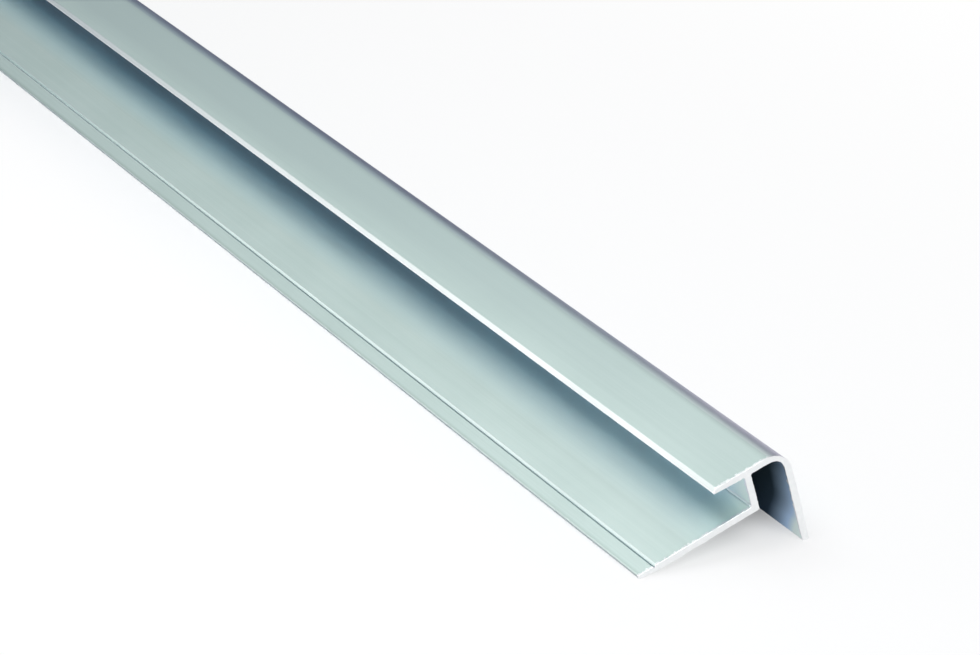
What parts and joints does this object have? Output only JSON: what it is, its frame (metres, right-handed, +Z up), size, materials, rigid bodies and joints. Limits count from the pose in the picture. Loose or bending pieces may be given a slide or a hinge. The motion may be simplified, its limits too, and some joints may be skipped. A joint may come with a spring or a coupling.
{
  "type": "aluminium extrusion profile",
  "caption": "Straight aluminium edge profile with a bottom flange, a web, a cover flange over a board slot, and a rounded nose that turns down into a leg.",
  "frame": {"origin": "centre of the bounding box, on the floor that the lip and the leg tip rest on", "axes": "+X along the bar towards near_end, +Y from the lip towards the leg, +Z up as it rests unheld"},
  "size_m": [1, 0.0422, 0.0214],
  "materials": {
    "aluminium": "satin natural aluminium, as extruded, with square saw-cut ends"
  },
  "bodies": {
    "root": {"edge_profile": "aluminium"}
  },
  "joints": []
}
